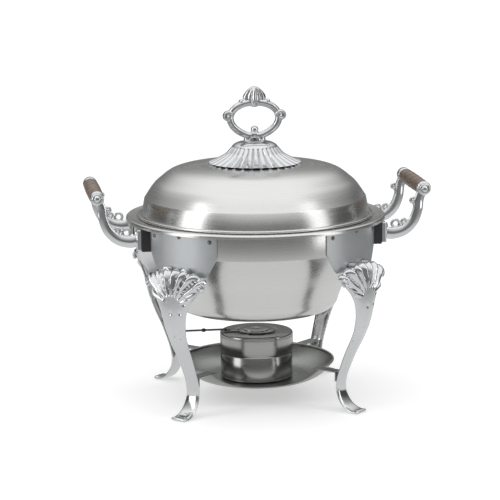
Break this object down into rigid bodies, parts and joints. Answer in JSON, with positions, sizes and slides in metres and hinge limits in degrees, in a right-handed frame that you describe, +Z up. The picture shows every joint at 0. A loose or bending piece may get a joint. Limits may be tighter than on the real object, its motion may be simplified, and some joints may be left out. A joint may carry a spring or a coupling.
{
  "type": "round chafing dish",
  "caption": "Round chafing dish: lift-off domed cover with a cast ring handle, food and water pans, ring frame on cast shell legs, wooden side grips, and a fuel holder on a shelf.",
  "frame": {"origin": "on the table, at the centre of the stand", "axes": "+Z up; the side grips lie to -X and +X; the open side of the burner shelf faces -Y"},
  "size_m": [0.4292, 0.3288, 0.3995],
  "materials": {
    "satin_steel": "satin",
    "cast_chrome": "bright plated casting",
    "polished_steel": "polished",
    "shelf_steel": "dull",
    "fastener_steel": "bright",
    "turned_wood": "varnished, dark brown",
    "black_insulator": "matt black"
  },
  "bodies": {
    "frame": {"frame_band": "satin_steel", "leg_plate_front_left": "satin_steel", "leg_plate_front_right": "satin_steel", "leg_plate_back_left": "satin_steel", "leg_plate_back_right": "satin_steel", "leg_front_left": "cast_chrome", "leg_front_right": "cast_chrome", "leg_back_left": "cast_chrome", "leg_back_right": "cast_chrome", "leg_rivets": "fastener_steel", "leg_screws": "fastener_steel", "burner_shelf": "shelf_steel", "shelf_screws": "fastener_steel", "handle_arm_left_front": "cast_chrome", "handle_arm_left_back": "cast_chrome", "handle_arm_right_front": "cast_chrome", "handle_arm_right_back": "cast_chrome", "handle_spacers": "black_insulator", "handle_bolts": "fastener_steel", "grip_left": "turned_wood", "grip_right": "turned_wood", "grip_rod_left": "fastener_steel", "grip_rod_right": "fastener_steel", "grip_caps": "cast_chrome"},
    "water_pan": {"water_pan": "satin_steel"},
    "food_pan": {"food_pan": "satin_steel"},
    "cover": {"cover_dome": "satin_steel", "cover_bell": "cast_chrome", "lid_handle": "cast_chrome", "lid_handle_screw": "fastener_steel", "lid_handle_washer": "fastener_steel"},
    "fuel_holder": {"fuel_cup": "polished_steel"},
    "fuel_cover": {"fuel_cover": "polished_steel", "damper_rivet": "fastener_steel"},
    "damper": {"damper_plate": "polished_steel", "damper_handle": "fastener_steel", "damper_bead": "black_insulator"}
  },
  "joints": [
    {"name": "water_pan_lift", "type": "slide", "parent": "frame", "child": "water_pan", "axis": [0, 0, 1], "range_m": [0, 0.14]},
    {"name": "food_pan_lift", "type": "slide", "parent": "water_pan", "child": "food_pan", "axis": [0, 0, 1], "range_m": [0, 0.1]},
    {"name": "cover_lift", "type": "slide", "parent": "food_pan", "child": "cover", "axis": [0, 0, 1], "range_m": [0, 0.15]},
    {"name": "fuel_holder_slide", "type": "slide", "parent": "frame", "child": "fuel_holder", "axis": [0, -0.985, 0.1726], "range_m": [0, 0.22]},
    {"name": "fuel_cover_lift", "type": "slide", "parent": "fuel_holder", "child": "fuel_cover", "axis": [0, 0, 1], "range_m": [0, 0.02]},
    {"name": "damper_swivel", "type": "hinge", "parent": "fuel_cover", "child": "damper", "pos_m": [-0.036, 0, 0.0865], "axis": [0, 0, 1], "range_deg": [0, 100]}
  ]
}
